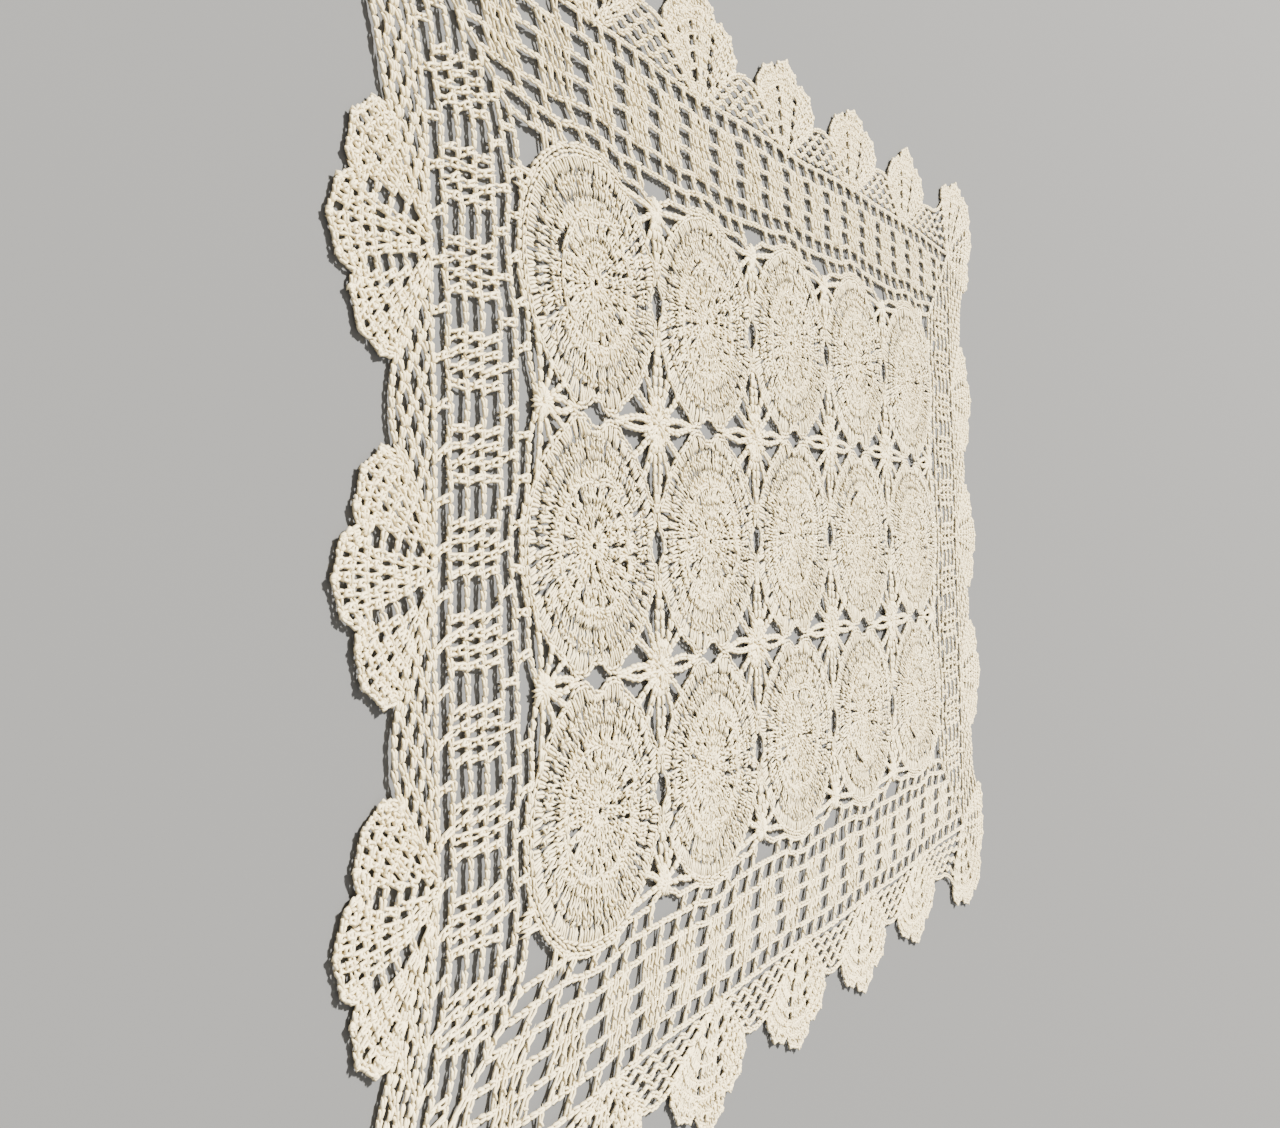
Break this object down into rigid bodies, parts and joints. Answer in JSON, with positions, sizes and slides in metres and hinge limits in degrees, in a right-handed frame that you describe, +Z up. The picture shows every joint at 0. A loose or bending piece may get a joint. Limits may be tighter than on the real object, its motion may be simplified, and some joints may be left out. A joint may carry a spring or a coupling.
{
  "type": "crochet table runner",
  "caption": "Flat openwork table runner of round crochet medallions joined by small flowers inside a filet and fan border, for laying on a table.",
  "frame": {"origin": "centre of the runner at its underside, where it rests on the table", "axes": "+X along the long side, +Y along the short side, +Z up through its thickness"},
  "size_m": [0.5122, 0.3682, 0.0031],
  "materials": {
    "medallion": "matt crochet cotton, ecru",
    "flower": "matt crochet cotton, ecru",
    "border": "matt crochet cotton, ecru"
  },
  "bodies": {
    "root": {"border": "border", "flower_1_1": "flower", "flower_1_2": "flower", "flower_2_1": "flower", "flower_2_2": "flower", "flower_3_1": "flower", "flower_3_2": "flower", "flower_4_1": "flower", "flower_4_2": "flower", "half_flower_far_side_1": "flower", "half_flower_far_side_2": "flower", "half_flower_far_side_3": "flower", "half_flower_far_side_4": "flower", "half_flower_near_side_1": "flower", "half_flower_near_side_2": "flower", "half_flower_near_side_3": "flower", "half_flower_near_side_4": "flower", "half_flower_left_end_1": "flower", "half_flower_left_end_2": "flower", "half_flower_right_end_1": "flower", "half_flower_right_end_2": "flower", "medallion_1_1": "medallion", "medallion_1_2": "medallion", "medallion_1_3": "medallion", "medallion_2_1": "medallion", "medallion_2_2": "medallion", "medallion_2_3": "medallion", "medallion_3_1": "medallion", "medallion_3_2": "medallion", "medallion_3_3": "medallion", "medallion_4_1": "medallion", "medallion_4_2": "medallion", "medallion_4_3": "medallion", "medallion_5_1": "medallion", "medallion_5_2": "medallion", "medallion_5_3": "medallion"}
  },
  "joints": []
}
